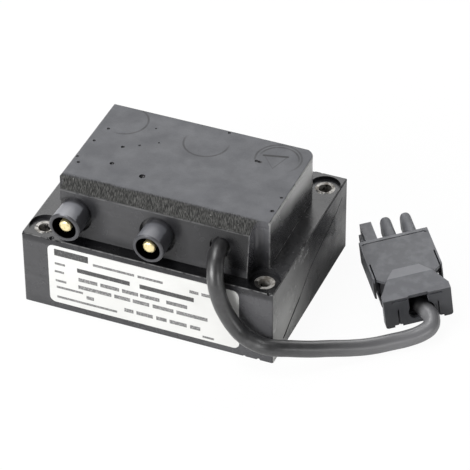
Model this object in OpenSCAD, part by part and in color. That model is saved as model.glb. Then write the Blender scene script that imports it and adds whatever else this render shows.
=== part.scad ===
// Ignition transformer for an oil or gas burner: a resin block cast round the coils and core,
// two high-voltage towers on its front, four mounting sleeves, and a short mains cable with a plug.
// X runs along the front, Y goes back, Z goes up. The origin is in the middle of the underside.

/* [Cast block] */
// Width of the block along its front
block_w = 105; // [100:0.5:125]
// Depth of the block from front to back
block_d = 79.5; // [76:0.5:95]
// Height of the wide base
base_h = 33.5; // [33:0.5:40]
// Height of the narrower upper part above the base
upper_h = 21.5; // [19:0.5:30]
// Depth of the ledge in front of the upper part
ledge_front = 5.75; // [5.25:0.25:7]
// Depth of the ledge behind the upper part
ledge_back = 14.95; // [10:0.05:18]
// Width of the ledge on the left
ledge_left = 11.25; // [8:0.25:12]
// Width of the ledge on the right
ledge_right = 7.25; // [6:0.25:10]
// Small bevel round the top of the block
edge_bevel = 0.5; // [0.2:0.1:1]
// Rounding of the upright corners of the base
base_corner_r = 0.8; // [0.5:0.1:3]
// Rounding of the back right corner of the upper part
back_corner_r = 6; // [1:0.5:8]
// How far the front face leans back at its top
face_lean = 2.7; // [1:0.1:4]
// How far back the sawn pouring edge reaches from there
band_depth = 6.4; // [4:0.1:12]
// How far the sawn pouring edge drops towards the front
band_drop = 2.5; // [1:0.25:2.5]

/* [Screw notches] */
// Width of the notch in the front right corner of the upper part
notch_right_w = 5.6; // [5.5:0.1:7]
// Depth of that notch
notch_right_d = 9.4; // [5:0.1:12]
// Width of the notch in the front left corner of the upper part
notch_left_w = 2.3; // [1:0.1:2.8]
// Depth of that notch
notch_left_d = 7.5; // [5:0.1:12]
// Rounding inside the right notch
notch_right_r = 3; // [0.5:0.1:5.4]
// Rounding inside the left notch
notch_left_r = 2; // [0.5:0.1:2.2]

/* [Mounting] */
// Distance between the mounting holes along X
hole_spacing_x = 92; // [90:0.5:93]
// Distance between the mounting holes along Y
hole_spacing_y = 64; // [62:0.5:66]
// Outside diameter of a steel sleeve
sleeve_d = 8; // [7:0.1:9]
// Bore of a steel sleeve, for an M5 screw
sleeve_bore = 5.3; // [4.3:0.1:6]
// Diameter of the counterbore over each sleeve
counterbore_d = 12.4; // [10:0.1:12.8]
// Depth of that counterbore
counterbore_depth = 1.4; // [0.5:0.1:3]

/* [High-voltage towers] */
// Distance between the two towers
tower_spacing = 35; // [30:0.5:36]
// Middle of the pair, left of the middle of the block
tower_offset = 15.3; // [14:0.1:16]
// Height of the towers' axis above the base
tower_rise = 9.2; // [8:0.1:10.5]
// Outside diameter of a tower at its mouth
tower_d = 12.8; // [12:0.1:13.2]
// Outside diameter of a tower at its seat
tower_base_d = 12.2; // [11.6:0.1:12.4]
// Length of a tower in front of its seat
tower_len = 11; // [9:0.5:14]
// Diameter of the round seat in the block's face
seat_d = 15.2; // [13.6:0.1:16]
// Depth of the seat behind the foot of the face
seat_depth = 3; // [2.8:0.1:4]
// Diameter of the socket in a tower
socket_d = 10; // [9:0.1:10.8]
// Thickness of the wall at the bottom of the socket
socket_web = 1; // [0.6:0.1:2]
// Diameter of the root that is cast into the block
tower_root_d = 10.4; // [8:0.1:11]
// Length of that root
tower_root_len = 5; // [3:0.5:7]
// Diameter of the brass contact pin
pin_d = 5.2; // [4:0.1:6]
// How far the pin stands back from the mouth
pin_recess = 0.7; // [0.2:0.1:2]
// Diameter of the pin's solder tail
pin_tail_d = 2.4; // [1.6:0.1:3]
// Length of the solder tail behind the root
pin_tail_len = 3.5; // [2:0.5:5]
// Diameter of the pin's neck, where the tower's web holds it
pin_neck_d = 4.4; // [3.4:0.1:4.8]

/* [Core] */
// Width of a core leg
core_leg = 12; // [10:0.5:13]
// Height of the stack of laminations
core_stack = 14; // [10:0.5:15]
// Height of the core's middle above the underside
core_z = 18; // [17.8:0.1:19]
// Length of the core window along X
window_w = 48; // [40:0.5:52]
// Depth of the core window along Y
window_d = 26; // [25.5:0.25:27]
// Middle of the core, behind the middle of the block
core_back = 3; // [2.9:0.1:4.5]
// Thickness of the magnetic shunt
shunt_t = 6; // [4:0.5:8]
// Air gap at each end of the shunt
shunt_gap = 0.9; // [0.4:0.1:2]

/* [Coils] */
// Wall of a bobbin
bobbin_wall = 1.2; // [0.8:0.1:1.6]
// Thickness of a bobbin's flange
flange_t = 1.4; // [1:0.1:2]
// Clearance between a bobbin and the core
bobbin_clearance = 0.2; // [0.1:0.05:0.4]
// Height of the primary winding on its bobbin
primary_build = 4.8; // [3:0.1:5.5]
// Height of each secondary winding on its bobbin
secondary_build = 7.2; // [5:0.1:7.5]
// Corner rounding of the windings
winding_r = 3; // [1:0.5:4]
// Diameter of a high-voltage lead
hv_lead_d = 1.6; // [1:0.1:2]

/* [Cable] */
// Outside diameter of the mains cable
cable_d = 6.6; // [6:0.1:7]
// Clearance round the cable where it is cast in
cable_clearance = 0.15; // [0.1:0.05:0.3]
// Diameter of the recess where the cable leaves the block
cable_mouth_d = 8.6; // [8:0.1:10]
// Depth of that recess
cable_mouth_depth = 2.5; // [1:0.1:4]
// Diameter of one insulated conductor
conductor_d = 2.2; // [1.6:0.1:2.4]

/* [Rating label] */
// Width of the label
label_w = 80; // [60:1:90]
// Height of the label
label_h = 28; // [20:0.5:29]
// Corner rounding of the label
label_r = 2.5; // [1:0.1:4]
// Thickness of the label
label_t = 0.2; // [0.1:0.05:0.4]
// Middle of the label, left of the middle of the block
label_offset = 1.4; // [0:0.1:4]
// Height of the label's lower edge above the underside
label_z = 3; // [2:0.1:4]

/* [Plug housing] */
// Direction of the plug on the table, in degrees
plug_turn = 34; // [34:1:34]
// Sideways tilt of the plug on its cable, in degrees
plug_roll = 7; // [7:1:7]
// Width of the housing across its rear block
hood_w = 27; // [26.5:0.1:27.6]
// Width of the housing's front part
hood_front_w = 28; // [27.8:0.1:28.6]
// Height of the front part's sides above the table side
skirt_h = 3.6; // [3:0.1:4]
// Width of the narrower keel under the front part
keel_w = 24; // [23.6:0.1:25]
// Distance of the ridge from the rear
ridge_a = 11.4; // [11.2:0.1:12.4]
// Length of the ramp in front of the ridge
ramp_len = 6.4; // [4:0.2:7]
// Height of the housing
hood_h = 13.8; // [13.6:0.1:14.4]
// Extra height of the ridge across the grip
ridge_rise = 1.1; // [0.4:0.1:1.4]
// Length of the housing
hood_len = 37; // [36:0.5:40]
// Wall of the housing's top and bottom
hood_wall = 1.5; // [1.2:0.1:1.6]
// Width of the space inside the front part
hood_room_w = 22.4; // [22.2:0.1:22.8]
// Width of the waist
waist_w = 18.6; // [16:0.1:20]
// Distance of the waist from the rear
waist_a = 11; // [9:0.5:11.5]
// Distance of the front shoulders from the rear
shoulder_a = 15.2; // [14.6:0.1:16]
// Length of the rear block
rear_t = 3.2; // [2.6:0.1:4]
// Width of the slit that frees a latch tongue
tongue_slit = 0.6; // [0.4:0.1:0.6]
// Thickness of a latch tongue
tongue_t = 0.7; // [0.6:0.1:1]
// Distance of a tongue's root from the rear
tongue_root_a = 24; // [22:0.5:28]
// Width of the opening for the cable
cable_slot_w = 10.4; // [10.4:0.1:11]
// Height of that opening
cable_slot_h = 8; // [7.6:0.1:8.4]
// Height of the cable's axis inside the plug
cable_h = 5.8; // [5.8:0.1:6.2]

/* [Plug contacts] */
// Distance between the contact fingers
finger_pitch = 8.2; // [8:0.1:8.3]
// Width of a finger
finger_w = 4.7; // [4.6:0.1:5]
// Height of a finger
finger_h = 9; // [8:0.1:9.4]
// Length of a finger
finger_len = 14.8; // [12:0.1:18]
// Rounding of a finger's tip
finger_tip_r = 1.5; // [0.8:0.1:2.2]
// Thickness of the front flange that carries the fingers
flange_front_t = 1.5; // [1:0.1:2]
// Clearance between the contact carrier and the housing
carrier_clearance = 0.2; // [0.1:0.05:0.3]
// Outside diameter of a contact sleeve
contact_d = 3.2; // [3:0.1:3.4]
// Bore of a contact sleeve
contact_bore = 2.4; // [2:0.1:2.6]
// How far a contact sleeve stands back from the tip of its finger
contact_recess = 0.8; // [0.4:0.1:1.5]
// Width of a terminal block
terminal_w = 4.4; // [4.2:0.1:4.4]
// Height of a terminal block
terminal_h = 6; // [5.6:0.1:6]
// Length of a terminal block
terminal_len = 10; // [9:0.5:11]
// Thread diameter of a terminal screw
terminal_screw_d = 2.5; // [2:0.1:3]
// Thickness of the clamp over the cable
clamp_t = 2; // [1.6:0.1:2]
// Length of the clamp along the cable
clamp_len = 4; // [3:0.5:5]
// Thread diameter of a clamp screw
clamp_screw_d = 2; // [1.6:0.1:2.2]

/* [Hidden] */
$fn = 48;

// Amount by which a cutter runs past the face that it cuts
over = 1;

// Faces of the base and of the upper part
front_y = -block_d / 2;
block_top = base_h + upper_h;
face_y = front_y + ledge_front;
upper_back_y = block_d / 2 - ledge_back;
upper_left_x = -block_w / 2 + ledge_left;
upper_right_x = block_w / 2 - ledge_right;
sleeve_len = base_h - counterbore_depth;

// Towers and their pins
tower_z = base_h + tower_rise;
tower_left_x = -tower_offset - tower_spacing / 2;
tower_right_x = -tower_offset + tower_spacing / 2;
seat_y = face_y + seat_depth;
pin_tail_y = seat_y + tower_root_len + pin_tail_len;

// Core legs and coils, which lie flat with their axes along X
front_leg_y = core_back - window_d / 2 - core_leg / 2;
back_leg_y = core_back + window_d / 2 + core_leg / 2;
core_outer_w = window_w + 2 * core_leg;
bobbin_grow = bobbin_clearance + bobbin_wall;
primary_grow = bobbin_grow + primary_build;
secondary_grow = bobbin_grow + secondary_build;
primary_len = window_w - 2 * bobbin_clearance;
secondary_len = (window_w - 3 * bobbin_clearance) / 2;
secondary_x = (secondary_len + bobbin_clearance) / 2;
primary_top = core_z + core_stack / 2 + primary_grow;
secondary_top = core_z + core_stack / 2 + secondary_grow;
core_top = core_z + core_stack / 2;

// The cable leaves the block here, and its route is chosen by hand from there to the plug
cable_exit_x = 28;
cable_exit_z = 44.5;
cable_end_y = -18;
cable_route = [
    [28, -18, 44.5], [28, -25, 44.5], [28, -32.5, 44.5], [28.4, -36.8, 43.8], [29.4, -40.8, 41.2],
    [30.5, -43.4, 37.4], [31.6, -44.2, 33], [33, -44.4, 28.2], [35.2, -44.4, 23.2], [38.4, -44.4, 18.2],
    [42.4, -44.5, 14.4], [47, -44.5, 12.4], [52.5, -43.9, 11.4], [59.5, -40.1, 10], [66.2, -35.2, 8],
    [72.1, -30.1, 6.2], [79.1, -25.2, 4.8], [85.6, -20, 3.8], [91.2, -15.1, 3.6], [97.6, -9.9, 4],
    [101.3, -6.4, 4.9], [103.2, -3.3, 5.9], [103.1, -0.9, 6.8], [101.7, 1.4, 7.5], [99.5, 3.2, 7.8],
    [97.1, 5, 7.7], [95, 6.3, 7.5], [93.4, 7.6, 7.4], [91.6, 9.8, 7.4], [89.6, 12.7, 7.4]];
conductor_ring = cable_d / 2 - conductor_d / 2 - 0.6;

// Places of the leads inside: where they start on the windings, and how far they run straight
hv_start_x = secondary_x + 1.9;
live_x = window_w / 2 - 5;
neutral_x = -window_w / 2 + 8;
lead_rise = primary_build + bobbin_wall;
hv_drop = 2 * hv_lead_d - 0.2;

// The middle of the plug's rear edge on the table
plug_x = 97;
plug_y = 3.2;
plug_z = hood_w / 2 * sin(plug_roll);
carrier_w = hood_room_w - 2 * carrier_clearance;
carrier_low = hood_wall + carrier_clearance;
carrier_high = hood_h - hood_wall - carrier_clearance;
carrier_rear = 17;
finger_low = (hood_h - finger_h) / 2;
finger_root = hood_len + flange_front_t;
finger_tip = finger_root + finger_len;
tail_w = 14;
tail_rear = rear_t + 1;
tail_top = cable_h - cable_d / 2 - 0.1;
terminal_rear = 20;
terminal_low = hood_h / 2 - terminal_h / 2;
seam_u = hood_front_w / 2 - 1.2;
corner_r = 1.2;
clamp_a = 8.8;
clamp_screw_u = 5.1;
sheath_end_a = 12;

// Air bubbles in the top of the casting: x, y and radius
pits = [[-36.3, 8.2, 0.65], [-38.2, -1.1, 0.6], [-26.1, -0.8, 0.75], [-20.4, 2.5, 0.5], [-39.9, -12.9, 0.6],
    [-38, -16.2, 0.65], [-25.6, -12.2, 0.9], [-11.4, -15.5, 1.25], [25.6, 10.1, 0.7], [26.9, 9.9, 0.6],
    [43.2, -17.3, 0.8], [43.4, -8.2, 0.6], [8.9, 23.2, 0.6], [-18.9, 15.2, 0.4], [-14.1, 6.9, 0.4]];
// Chips along the lower front edge and the corners: x, y, z and radius
chips = [[46.4, front_y, 0, 0.7], [40.6, front_y - 0.2, 0, 0.6], [-block_w / 2, -35.6, 31, 1.1],
    [-block_w / 2, front_y, base_h, 1.3], [-39.9, front_y + 1, base_h, 1], [-41.2, front_y, base_h, 0.7],
    [38.5, block_d / 2, base_h, 0.9], [42, block_d / 2, base_h, 0.7], [50.6, -39.2, base_h, 0.8],
    [block_w / 2, -12.2, base_h, 0.6], [block_w / 2, -27.5, base_h, 0.5]];
// Fold on the right face of the casting: y and z of its points
fold = [[-28.5, 4.5], [-11, 11.8], [-0.5, 17.8], [10.7, 20.9], [28, 24.9], [34, 28]];
fold_r = 0.35;
fold_open = [[-28.8, 4.2], [-20, 8.1], [-11.5, 11.6]];
fold_open_r = 0.6;

// A box given by its lowest and highest corners
module span(low, high) {
    translate(low) cube(high - low);
}

// A rectangle round the origin with round corners
module round_rect(w, d, r) {
    square([w - 2 * r, d], center = true);
    square([w, d - 2 * r], center = true);
    for (x = [-1, 1], y = [-1, 1]) translate([x * (w / 2 - r), y * (d / 2 - r)]) circle(r);
}

// A bevelled slab: its plan is cut by the profile that bevels the top edges
module bevel_profile(low, high, z) {
    polygon([[low, -over], [high, -over], [high, z - edge_bevel], [high - edge_bevel, z],
        [low + edge_bevel, z], [low, z - edge_bevel]]);
}

// A route with its corners rounded, each over the given distance
function rounded(route, reach) = [route[0], for (i = [1 : len(route) - 2])
    let (p = route[i], a = p + reach * unit(route[i - 1] - p), b = p + reach * unit(route[i + 1] - p))
        for (t = [0 : 0.25 : 1]) (1 - t) * (1 - t) * a + 2 * t * (1 - t) * p + t * t * b,
    route[len(route) - 1]];

// Directions and rings of a tube: each ring keeps the turn of the one before it
function unit(v) = v / norm(v);
function heading(route, i) = unit(route[min(i + 1, len(route) - 1)] - route[max(i - 1, 0)]);
function side_of(route, i) = i == 0 ? [1, 0, 0] :
    let (t = heading(route, i), last = side_of(route, i - 1)) unit(last - (last * t) * t);
function ring(route, i, r, sides) = let (t = heading(route, i), u = side_of(route, i), v = cross(t, u))
    [for (k = [0 : sides - 1]) let (a = 360 * k / sides) route[i] + r * (cos(a) * u + sin(a) * v)];

// A tube of constant thickness swept along a route
module tube(route, d, sides) {
    n = len(route);
    points = [for (i = [0 : n - 1]) each ring(route, i, d / 2, sides)];
    walls = [for (i = [0 : n - 2], k = [0 : sides - 1]) [i * sides + k, (i + 1) * sides + k,
        (i + 1) * sides + (k + 1) % sides, i * sides + (k + 1) % sides]];
    first = [for (k = [0 : sides - 1]) k];
    last = [for (k = [sides - 1 : -1 : 0]) (n - 1) * sides + k];
    polyhedron(points, concat(walls, [first, last]));
}

// A wire through the given points, with soft bends
module wire(points, d) {
    tube(rounded(points, 1.8), d, 8);
}

// Outline of the base, with the bevel at its top
module base_shape() {
    intersection() {
        linear_extrude(base_h) round_rect(block_w, block_d, base_corner_r);
        rotate([90, 0, 0]) translate([0, 0, -block_d]) linear_extrude(2 * block_d)
            bevel_profile(-block_w / 2, block_w / 2, base_h);
        rotate([90, 0, 90]) translate([0, 0, -block_w]) linear_extrude(2 * block_w)
            bevel_profile(-block_d / 2, block_d / 2, base_h);
    }
}

// Plan of one screw notch, from the corner of the upper part inwards
module notch_plan(w, d, r) {
    translate([-over, -over]) square([w + over, d - r + over]);
    translate([-over, -over]) square([w - r + over, d + over]);
    translate([w - r, d - r]) circle(r);
}

// Upper part with its sawn pouring edge, the round back corner and the screw notches
module upper_shape() {
    difference() {
        intersection() {
            linear_extrude(block_top) difference() {
                translate([upper_left_x, face_y])
                    square([upper_right_x - upper_left_x, upper_back_y - face_y]);
                translate([upper_left_x, face_y]) notch_plan(notch_left_w, notch_left_d, notch_left_r);
                translate([upper_right_x, face_y]) mirror([1, 0])
                    notch_plan(notch_right_w, notch_right_d, notch_right_r);
                translate([upper_right_x - back_corner_r, upper_back_y - back_corner_r]) difference() {
                    square(back_corner_r + over);
                    circle(back_corner_r);
                }
            }
            rotate([90, 0, 0]) translate([0, 0, -block_d]) linear_extrude(2 * block_d)
                bevel_profile(upper_left_x, upper_right_x, block_top);
            rotate([90, 0, 90]) translate([0, 0, -block_w]) linear_extrude(2 * block_w) polygon([
                [face_y, 0], [face_y, base_h], [face_y + face_lean, block_top - band_drop],
                [face_y + face_lean + band_depth, block_top],
                [upper_back_y - edge_bevel, block_top], [upper_back_y, block_top - edge_bevel],
                [upper_back_y, 0]]);
        }
    }
}

// One leg of the core with everything up to the given height above it, between two X values
module leg_box(y, x_low, x_high, grow) {
    half_d = core_leg / 2 + grow;
    half_h = core_stack / 2 + grow;
    span([x_low, y - half_d, core_z - half_h], [x_high, y + half_d, core_z + half_h]);
}

// Everything inside that the resin flows round
module embedded_parts() {
    core_u_stack();
    core_yoke_stack();
    magnetic_shunt();
    leg_box(back_leg_y, -primary_len / 2, primary_len / 2, primary_grow);
    leg_box(front_leg_y, -secondary_x - secondary_len / 2, secondary_x + secondary_len / 2, secondary_grow);
    for (x = [tower_left_x, tower_right_x]) tower_root(x);
    hv_lead_left();
    hv_lead_right();
    live_lead();
    neutral_lead();
    earth_lead();
}

// The resin block, cast in one piece round all that it holds
module cast_body() {
    color("#3a3a3c") difference() {
        union() {
            base_shape();
            upper_shape();
        }
        for (x = [-1, 1], y = [-1, 1]) translate([x * hole_spacing_x / 2, y * hole_spacing_y / 2, 0]) {
            translate([0, 0, -over]) cylinder(d = sleeve_d, h = base_h);
            translate([0, 0, sleeve_len]) cylinder(d = counterbore_d, h = counterbore_depth + over);
        }
        embedded_parts();
        for (x = [tower_left_x, tower_right_x]) translate([x, seat_y, tower_z]) rotate([90, 0, 0])
            cylinder(d = seat_d, h = seat_depth + over);
        translate([cable_exit_x, cable_end_y, cable_exit_z]) rotate([90, 0, 0])
            cylinder(d = cable_d + 2 * cable_clearance, h = cable_end_y - front_y);
        translate([cable_exit_x, face_y + cable_mouth_depth, cable_exit_z]) rotate([90, 0, 0])
            cylinder(d = cable_mouth_d, h = cable_mouth_depth + over);
        for (pit = pits) translate([pit[0], pit[1], block_top]) sphere(pit[2], $fn = 20);
        for (chip = chips) translate([chip[0], chip[1], chip[2]]) sphere(chip[3], $fn = 16);
        tube([for (p = fold) [block_w / 2, p[0], p[1]]], 2 * fold_r, 6);
        tube([for (p = fold_open) [block_w / 2, p[0], p[1]]], 2 * fold_open_r, 6);
    }
}

// Four steel sleeves that take the screws and stop them from crushing the resin
module mounting_sleeves() {
    color("#c8c6c4") for (x = [-1, 1], y = [-1, 1])
        translate([x * hole_spacing_x / 2, y * hole_spacing_y / 2, 0]) difference() {
            cylinder(d = sleeve_d, h = sleeve_len);
            translate([0, 0, -over]) cylinder(d = sleeve_bore, h = sleeve_len + 2 * over);
        }
}

// The part of a tower and of its pin that the resin holds
module tower_root(x) {
    translate([x, seat_y + tower_root_len, tower_z]) rotate([90, 0, 0])
        cylinder(d = tower_root_d, h = tower_root_len + over);
    translate([x, pin_tail_y, tower_z]) rotate([90, 0, 0]) cylinder(d = pin_tail_d, h = pin_tail_len + over);
}

// Insulating tower: a socket in front, a solid root in the resin, turned round one axis
module hv_tower(x) {
    r = tower_d / 2;
    root_r = tower_root_d / 2;
    mouth = tower_len;
    lip = 0.5;
    color("#45474c") translate([x, seat_y, tower_z]) rotate([90, 0, 0]) rotate_extrude() polygon([
        [pin_tail_d / 2, -tower_root_len], [root_r, -tower_root_len], [root_r, 0], [tower_base_d / 2, 0],
        [r, mouth - lip], [r - lip, mouth], [socket_d / 2, mouth], [socket_d / 2, socket_web],
        [pin_neck_d / 2, socket_web], [pin_neck_d / 2, -socket_web], [pin_tail_d / 2, -socket_web]]);
}

// Brass pin with a domed tip, and a thin tail that the lead is soldered to
module hv_pin(x) {
    r = pin_d / 2;
    tip = tower_len - pin_recess;
    color("#d8c48a") translate([x, seat_y, tower_z]) rotate([90, 0, 0]) rotate_extrude() polygon([
        [0, -tower_root_len - pin_tail_len], [pin_tail_d / 2, -tower_root_len - pin_tail_len],
        [pin_tail_d / 2, -socket_web], [pin_neck_d / 2, -socket_web], [pin_neck_d / 2, socket_web],
        [r, socket_web], [r, tip - 0.8], [r - 0.3, tip - 0.3],
        [r - 0.9, tip], [0, tip]]);
}

// Leads from the windings up and forward to the tails of the pins
module hv_lead_left() {
    color("#b5482e") wire([[-hv_start_x, front_leg_y, secondary_top],
        [-hv_start_x, front_leg_y, tower_z - hv_drop],
        [tower_left_x, pin_tail_y + lead_rise, tower_z], [tower_left_x, pin_tail_y, tower_z]], hv_lead_d);
}

module hv_lead_right() {
    color("#b5482e") wire([[hv_start_x, front_leg_y, secondary_top],
        [hv_start_x, front_leg_y, tower_z - hv_drop],
        [tower_right_x, pin_tail_y + lead_rise, tower_z], [tower_right_x, pin_tail_y, tower_z]], hv_lead_d);
}

// A bobbin: a square tube on the leg with a flange at each end
module bobbin(y, x, reach, grow) {
    color("#d9d2bf") difference() {
        union() {
            leg_box(y, x - reach / 2, x + reach / 2, bobbin_grow);
            for (side = [-1, 1]) {
                end = x + side * (reach - flange_t) / 2;
                leg_box(y, end - flange_t / 2, end + flange_t / 2, grow);
            }
        }
        leg_box(y, x - reach, x + reach, bobbin_clearance);
    }
}

// A winding: copper layers with round corners between the flanges of its bobbin
module winding(y, x, reach, grow) {
    turn_w = reach - 2 * flange_t;
    color("#a8582c") difference() {
        translate([x - turn_w / 2, y, core_z]) rotate([90, 0, 90]) linear_extrude(turn_w)
            round_rect(core_leg + 2 * grow, core_stack + 2 * grow, winding_r);
        leg_box(y, x - reach, x + reach, bobbin_grow);
    }
}

module secondary_bobbin_left() bobbin(front_leg_y, -secondary_x, secondary_len, secondary_grow);
module secondary_bobbin_right() bobbin(front_leg_y, secondary_x, secondary_len, secondary_grow);
module primary_bobbin() bobbin(back_leg_y, 0, primary_len, primary_grow);
module secondary_winding_left() winding(front_leg_y, -secondary_x, secondary_len, secondary_grow);
module secondary_winding_right() winding(front_leg_y, secondary_x, secondary_len, secondary_grow);
module primary_winding() winding(back_leg_y, 0, primary_len, primary_grow);

// U-shaped laminations: the left yoke with both legs, so that the coils slide on from the right
module core_u_stack() {
    color("#6d7075") {
        span([-core_outer_w / 2, front_leg_y - core_leg / 2, core_z - core_stack / 2],
            [-window_w / 2, back_leg_y + core_leg / 2, core_top]);
        leg_box(front_leg_y, -window_w / 2, window_w / 2, 0);
        leg_box(back_leg_y, -window_w / 2, window_w / 2, 0);
    }
}

// Straight laminations that close the core on the right
module core_yoke_stack() {
    color("#787b80") span([window_w / 2, front_leg_y - core_leg / 2, core_z - core_stack / 2],
        [core_outer_w / 2, back_leg_y + core_leg / 2, core_top]);
}

// Bar between the coils that lets part of the flux pass by and so limits the arc current
module magnetic_shunt() {
    low = front_leg_y + core_leg / 2 + secondary_grow;
    high = back_leg_y - core_leg / 2 - primary_grow;
    middle = (low + high) / 2;
    color("#8a8d92") span([-window_w / 2 + shunt_gap, middle - shunt_t / 2, core_z - core_stack / 2],
        [window_w / 2 - shunt_gap, middle + shunt_t / 2, core_top]);
}

// Place of one conductor in the cable, at an angle round its axis
function conductor_at(angle, y) = [cable_exit_x + conductor_ring * sin(angle), y,
    cable_exit_z + conductor_ring * cos(angle)];

// The three conductors of the cable, from the end of the sheath to the primary and the core
module live_lead() {
    color("#6b4226") wire([conductor_at(0, cable_end_y), conductor_at(0, cable_end_y + lead_rise),
        [live_x, back_leg_y, primary_top + lead_rise], [live_x, back_leg_y, primary_top]], conductor_d);
}

module neutral_lead() {
    neutral_y = back_leg_y - core_leg / 3;
    color("#2f5fa8") wire([conductor_at(240, cable_end_y), conductor_at(240, cable_end_y + 4),
        [neutral_x, neutral_y, primary_top + lead_rise], [neutral_x, neutral_y, primary_top]], conductor_d);
}

module earth_lead() {
    color("#5b9a3a") wire([conductor_at(120, cable_end_y), conductor_at(120, cable_end_y + 5),
        [window_w / 2 + core_leg / 2, core_back + 2, core_top + 8],
        [window_w / 2 + core_leg / 2, core_back + 2, core_top]], conductor_d);
}

// Printed foil on the front of the base
module rating_label() {
    color("#e8e8e6") translate([-label_offset, front_y, label_z + label_h / 2]) rotate([90, 0, 0])
        linear_extrude(label_t) round_rect(label_w, label_h, label_r);
}

// Sheath of the mains cable, swept along its route
module mains_cable() {
    color("#2c2c2e") tube(cable_route, cable_d, 10);
}

// Puts a piece of the plug where the plug lies: width along X, length along Y towards the fingers
module at_plug() {
    translate([plug_x, plug_y, plug_z]) rotate([0, 0, plug_turn]) rotate([0, -plug_roll, 0]) children();
}

// Plan of the housing: rear block, waist, shoulders and front part
module hood_plan() {
    rear = hood_w / 2;
    waist = waist_w / 2;
    front = hood_front_w / 2;
    polygon([[-rear, 0], [rear, 0], [rear, rear_t], [waist, waist_a], [front, shoulder_a], [front, hood_len],
        [-front, hood_len], [-front, shoulder_a], [-waist, waist_a], [-rear, rear_t]]);
}

// Outside of the housing: the plan cut by its side profile, and the ramp in front of the ridge
module hood_outside() {
    step = (hood_front_w - keel_w) / 2;
    ramp_rear = waist_w / 2 - 0.2;
    ramp_front = waist_w / 2 - 4;
    slit_u = hood_front_w / 2 - tongue_t - tongue_slit;
    difference() {
        union() {
            intersection() {
                linear_extrude(hood_h + ridge_rise) hood_plan();
                rotate([90, 0, 90]) translate([0, 0, -hood_w]) linear_extrude(2 * hood_w)
                    polygon([[0, 0], [hood_len, 0], [hood_len, hood_h], [ridge_a, hood_h],
                        [ridge_a, hood_h + ridge_rise], [0, hood_h]]);
            }
            intersection() {
                rotate([90, 0, 90]) translate([0, 0, -waist_w / 2]) linear_extrude(waist_w)
                    polygon([[ridge_a - 1, hood_h - 1], [ridge_a + ramp_len, hood_h - 1],
                        [ridge_a + ramp_len, hood_h], [ridge_a, hood_h + ridge_rise],
                        [ridge_a - 1, hood_h + ridge_rise / 2]]);
                linear_extrude(2 * hood_h) polygon([[-ramp_rear, ridge_a - 1], [ramp_rear, ridge_a - 1],
                    [ramp_rear, ridge_a], [ramp_front, ridge_a + ramp_len],
                    [-ramp_front, ridge_a + ramp_len], [-ramp_rear, ridge_a]]);
            }
        }
        // Skirts that end above the table, beside the keel
        for (side = [0, 1]) mirror([side, 0, 0])
            span([keel_w / 2, waist_a + 1, -over], [keel_w / 2 + step + over, hood_len + over, skirt_h]);
        // Slits that free the latch tongues
        for (side = [0, 1]) mirror([side, 0, 0])
            span([slit_u, shoulder_a - 2, -over], [slit_u + tongue_slit, tongue_root_a, hood_h + over]);
        // Openings behind the shoulders, into which the tongues bend
        for (side = [0, 1]) mirror([side, 0, 0]) span([waist_w / 2 + 0.5, waist_a - 1, skirt_h - 1],
            [slit_u + tongue_slit / 2, shoulder_a + 4, hood_h - hood_wall + 0.3]);
        // Round lower corners of the rear block
        for (side = [0, 1]) mirror([side, 0, 0]) translate([hood_w / 2 - corner_r, -over, corner_r])
            rotate([-90, 0, 0]) linear_extrude(rear_t + 2) difference() {
                square(corner_r + over);
                circle(corner_r);
            }
    }
}

// Opening for the cable, wide enough for it to lie at a slant
module cable_slot(a_low, a_high) {
    r = cable_slot_h / 2;
    shift = cable_slot_w - cable_slot_h;
    for (u = [0, shift]) translate([u, a_high, cable_h]) rotate([90, 0, 0])
        cylinder(r = r, h = a_high - a_low);
    span([0, a_low, cable_h - r], [shift, a_high, cable_h + r]);
}

// Moulded housing of the plug: hollow front part, waist, ridged grip and two latch tongues
module plug_housing() {
    color("#58595c") at_plug() difference() {
        hood_outside();
        span([-hood_room_w / 2, 14, hood_wall], [hood_room_w / 2, hood_len + over, hood_h - hood_wall]);
        span([-tail_w / 2 - carrier_clearance, rear_t - 1, hood_wall - 0.3],
            [tail_w / 2 + carrier_clearance, 14 + over, 11.8]);
        cable_slot(-over, rear_t);
        // Opening and notch over the cable, slits and feet in the rear face
        span([-3.5, -over, cable_h], [4.3, rear_t, hood_h - 1.3]);
        span([-3.5, -over, hood_h - 1.4], [4.3, 0.6, hood_h + over]);
        for (u = [-8, 8]) span([u - 0.3, -over, 0.9], [u + 0.3, 1.4, 8.4]);
        for (side = [-1, 1])
            span([side * 7 - 3.1, -over, hood_h - 1.6], [side * 7 + 3.1, 0.9, hood_h - 0.9]);
        for (u = [-8.3, 8.3]) span([u - 1.6, -over, -over], [u + 1.6, 1.4, 0.9]);
        // Seam in front of the carrier's flange, with a pin hole at each end
        span([-seam_u, hood_len - 0.5, hood_h - 0.4], [seam_u, hood_len + over, hood_h + over]);
        for (side = [-1, 1]) translate([side * seam_u, hood_len - 0.9, hood_h - 0.4])
            cylinder(d = 0.9, h = 1, $fn = 12);
    }
}

// Finger with a rounded section and tip, or a slightly shorter square one
module finger(u, square_end) {
    r = finger_w / 2;
    if (square_end) {
        span([u - r, finger_root - over, finger_low], [u + r, finger_tip - 0.8, finger_low + finger_h]);
    } else {
        intersection() {
            translate([u, finger_tip + over, hood_h / 2]) rotate([90, 0, 0])
                linear_extrude(finger_len + 2 * over) {
                    square([finger_w, finger_h - finger_w], center = true);
                    for (side = [-1, 1]) translate([0, side * (finger_h / 2 - r)]) circle(r);
                }
            translate([u, 0, 0]) linear_extrude(hood_h) {
                translate([-r, finger_root - over]) square([finger_w, finger_len - finger_tip_r + over]);
                translate([finger_tip_r - r, finger_root]) square([finger_w - 2 * finger_tip_r, finger_len]);
                for (side = [-1, 1]) translate([side * (r - finger_tip_r), finger_tip - finger_tip_r])
                    circle(finger_tip_r);
            }
        }
    }
}

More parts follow.
